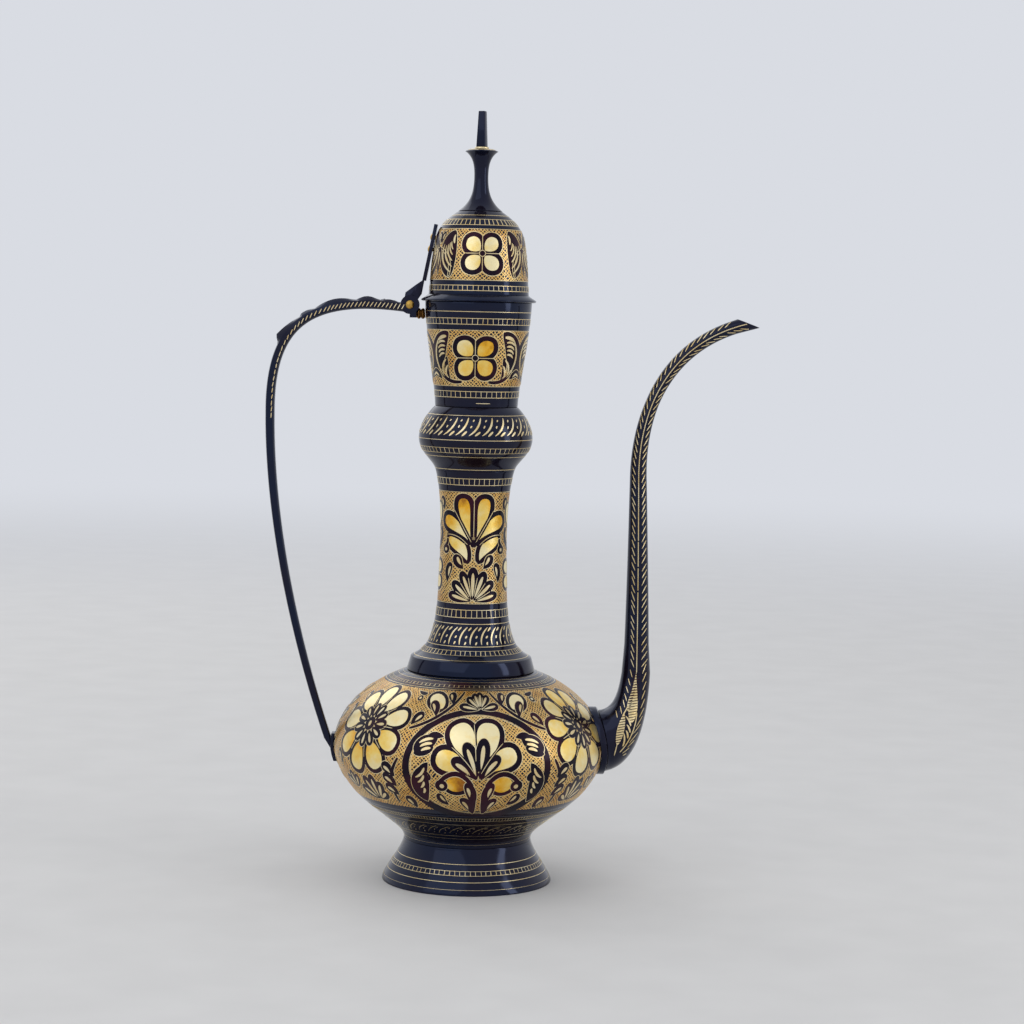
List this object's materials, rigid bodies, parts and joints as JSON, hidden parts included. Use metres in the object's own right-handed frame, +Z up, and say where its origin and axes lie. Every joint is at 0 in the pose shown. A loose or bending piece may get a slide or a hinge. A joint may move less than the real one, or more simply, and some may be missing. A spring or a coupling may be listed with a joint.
{
  "type": "long-necked ewer",
  "caption": "Tall engraved brass ewer: round body on a flared foot, ringed neck, hinged domed lid with finial, S-shaped spout and thin bow handle, for pouring water.",
  "frame": {"origin": "centre of the foot's flat rim, on the surface that the ewer stands on", "axes": "+Z up along the axis of the body and neck, +X towards the spout, -X towards the handle"},
  "size_m": [0.2457, 0.1364, 0.3854],
  "materials": {
    "black_lacquer": "gloss black lacquer on brass, engraved through to the metal",
    "bare_brass": "polished brass, slightly worn"
  },
  "bodies": {
    "vessel": {"foot": "black_lacquer", "body_base": "black_lacquer", "body_bowl": "black_lacquer", "neck_collar": "black_lacquer", "neck_tube": "black_lacquer", "neck_bulge": "black_lacquer", "neck_mouth": "black_lacquer", "spout_flange": "black_lacquer", "spout_tube": "black_lacquer", "handle_bow": "black_lacquer", "handle_plate": "black_lacquer", "handle_ferrule": "bare_brass", "hinge_pin": "bare_brass"},
    "lid": {"lid_rim": "black_lacquer", "lid_skirt": "bare_brass", "lid_dome": "black_lacquer", "lid_strap": "black_lacquer", "strap_rivets": "bare_brass", "finial_stem": "black_lacquer", "finial_rod": "bare_brass", "finial_nut": "bare_brass", "finial_washer": "bare_brass", "finial_spike": "black_lacquer"}
  },
  "joints": [
    {"name": "lid_hinge", "type": "hinge", "parent": "vessel", "child": "lid", "pos_m": [-0.0341, 0, 0.28903], "axis": [0, -1, 0], "range_deg": [0, 95]}
  ]
}
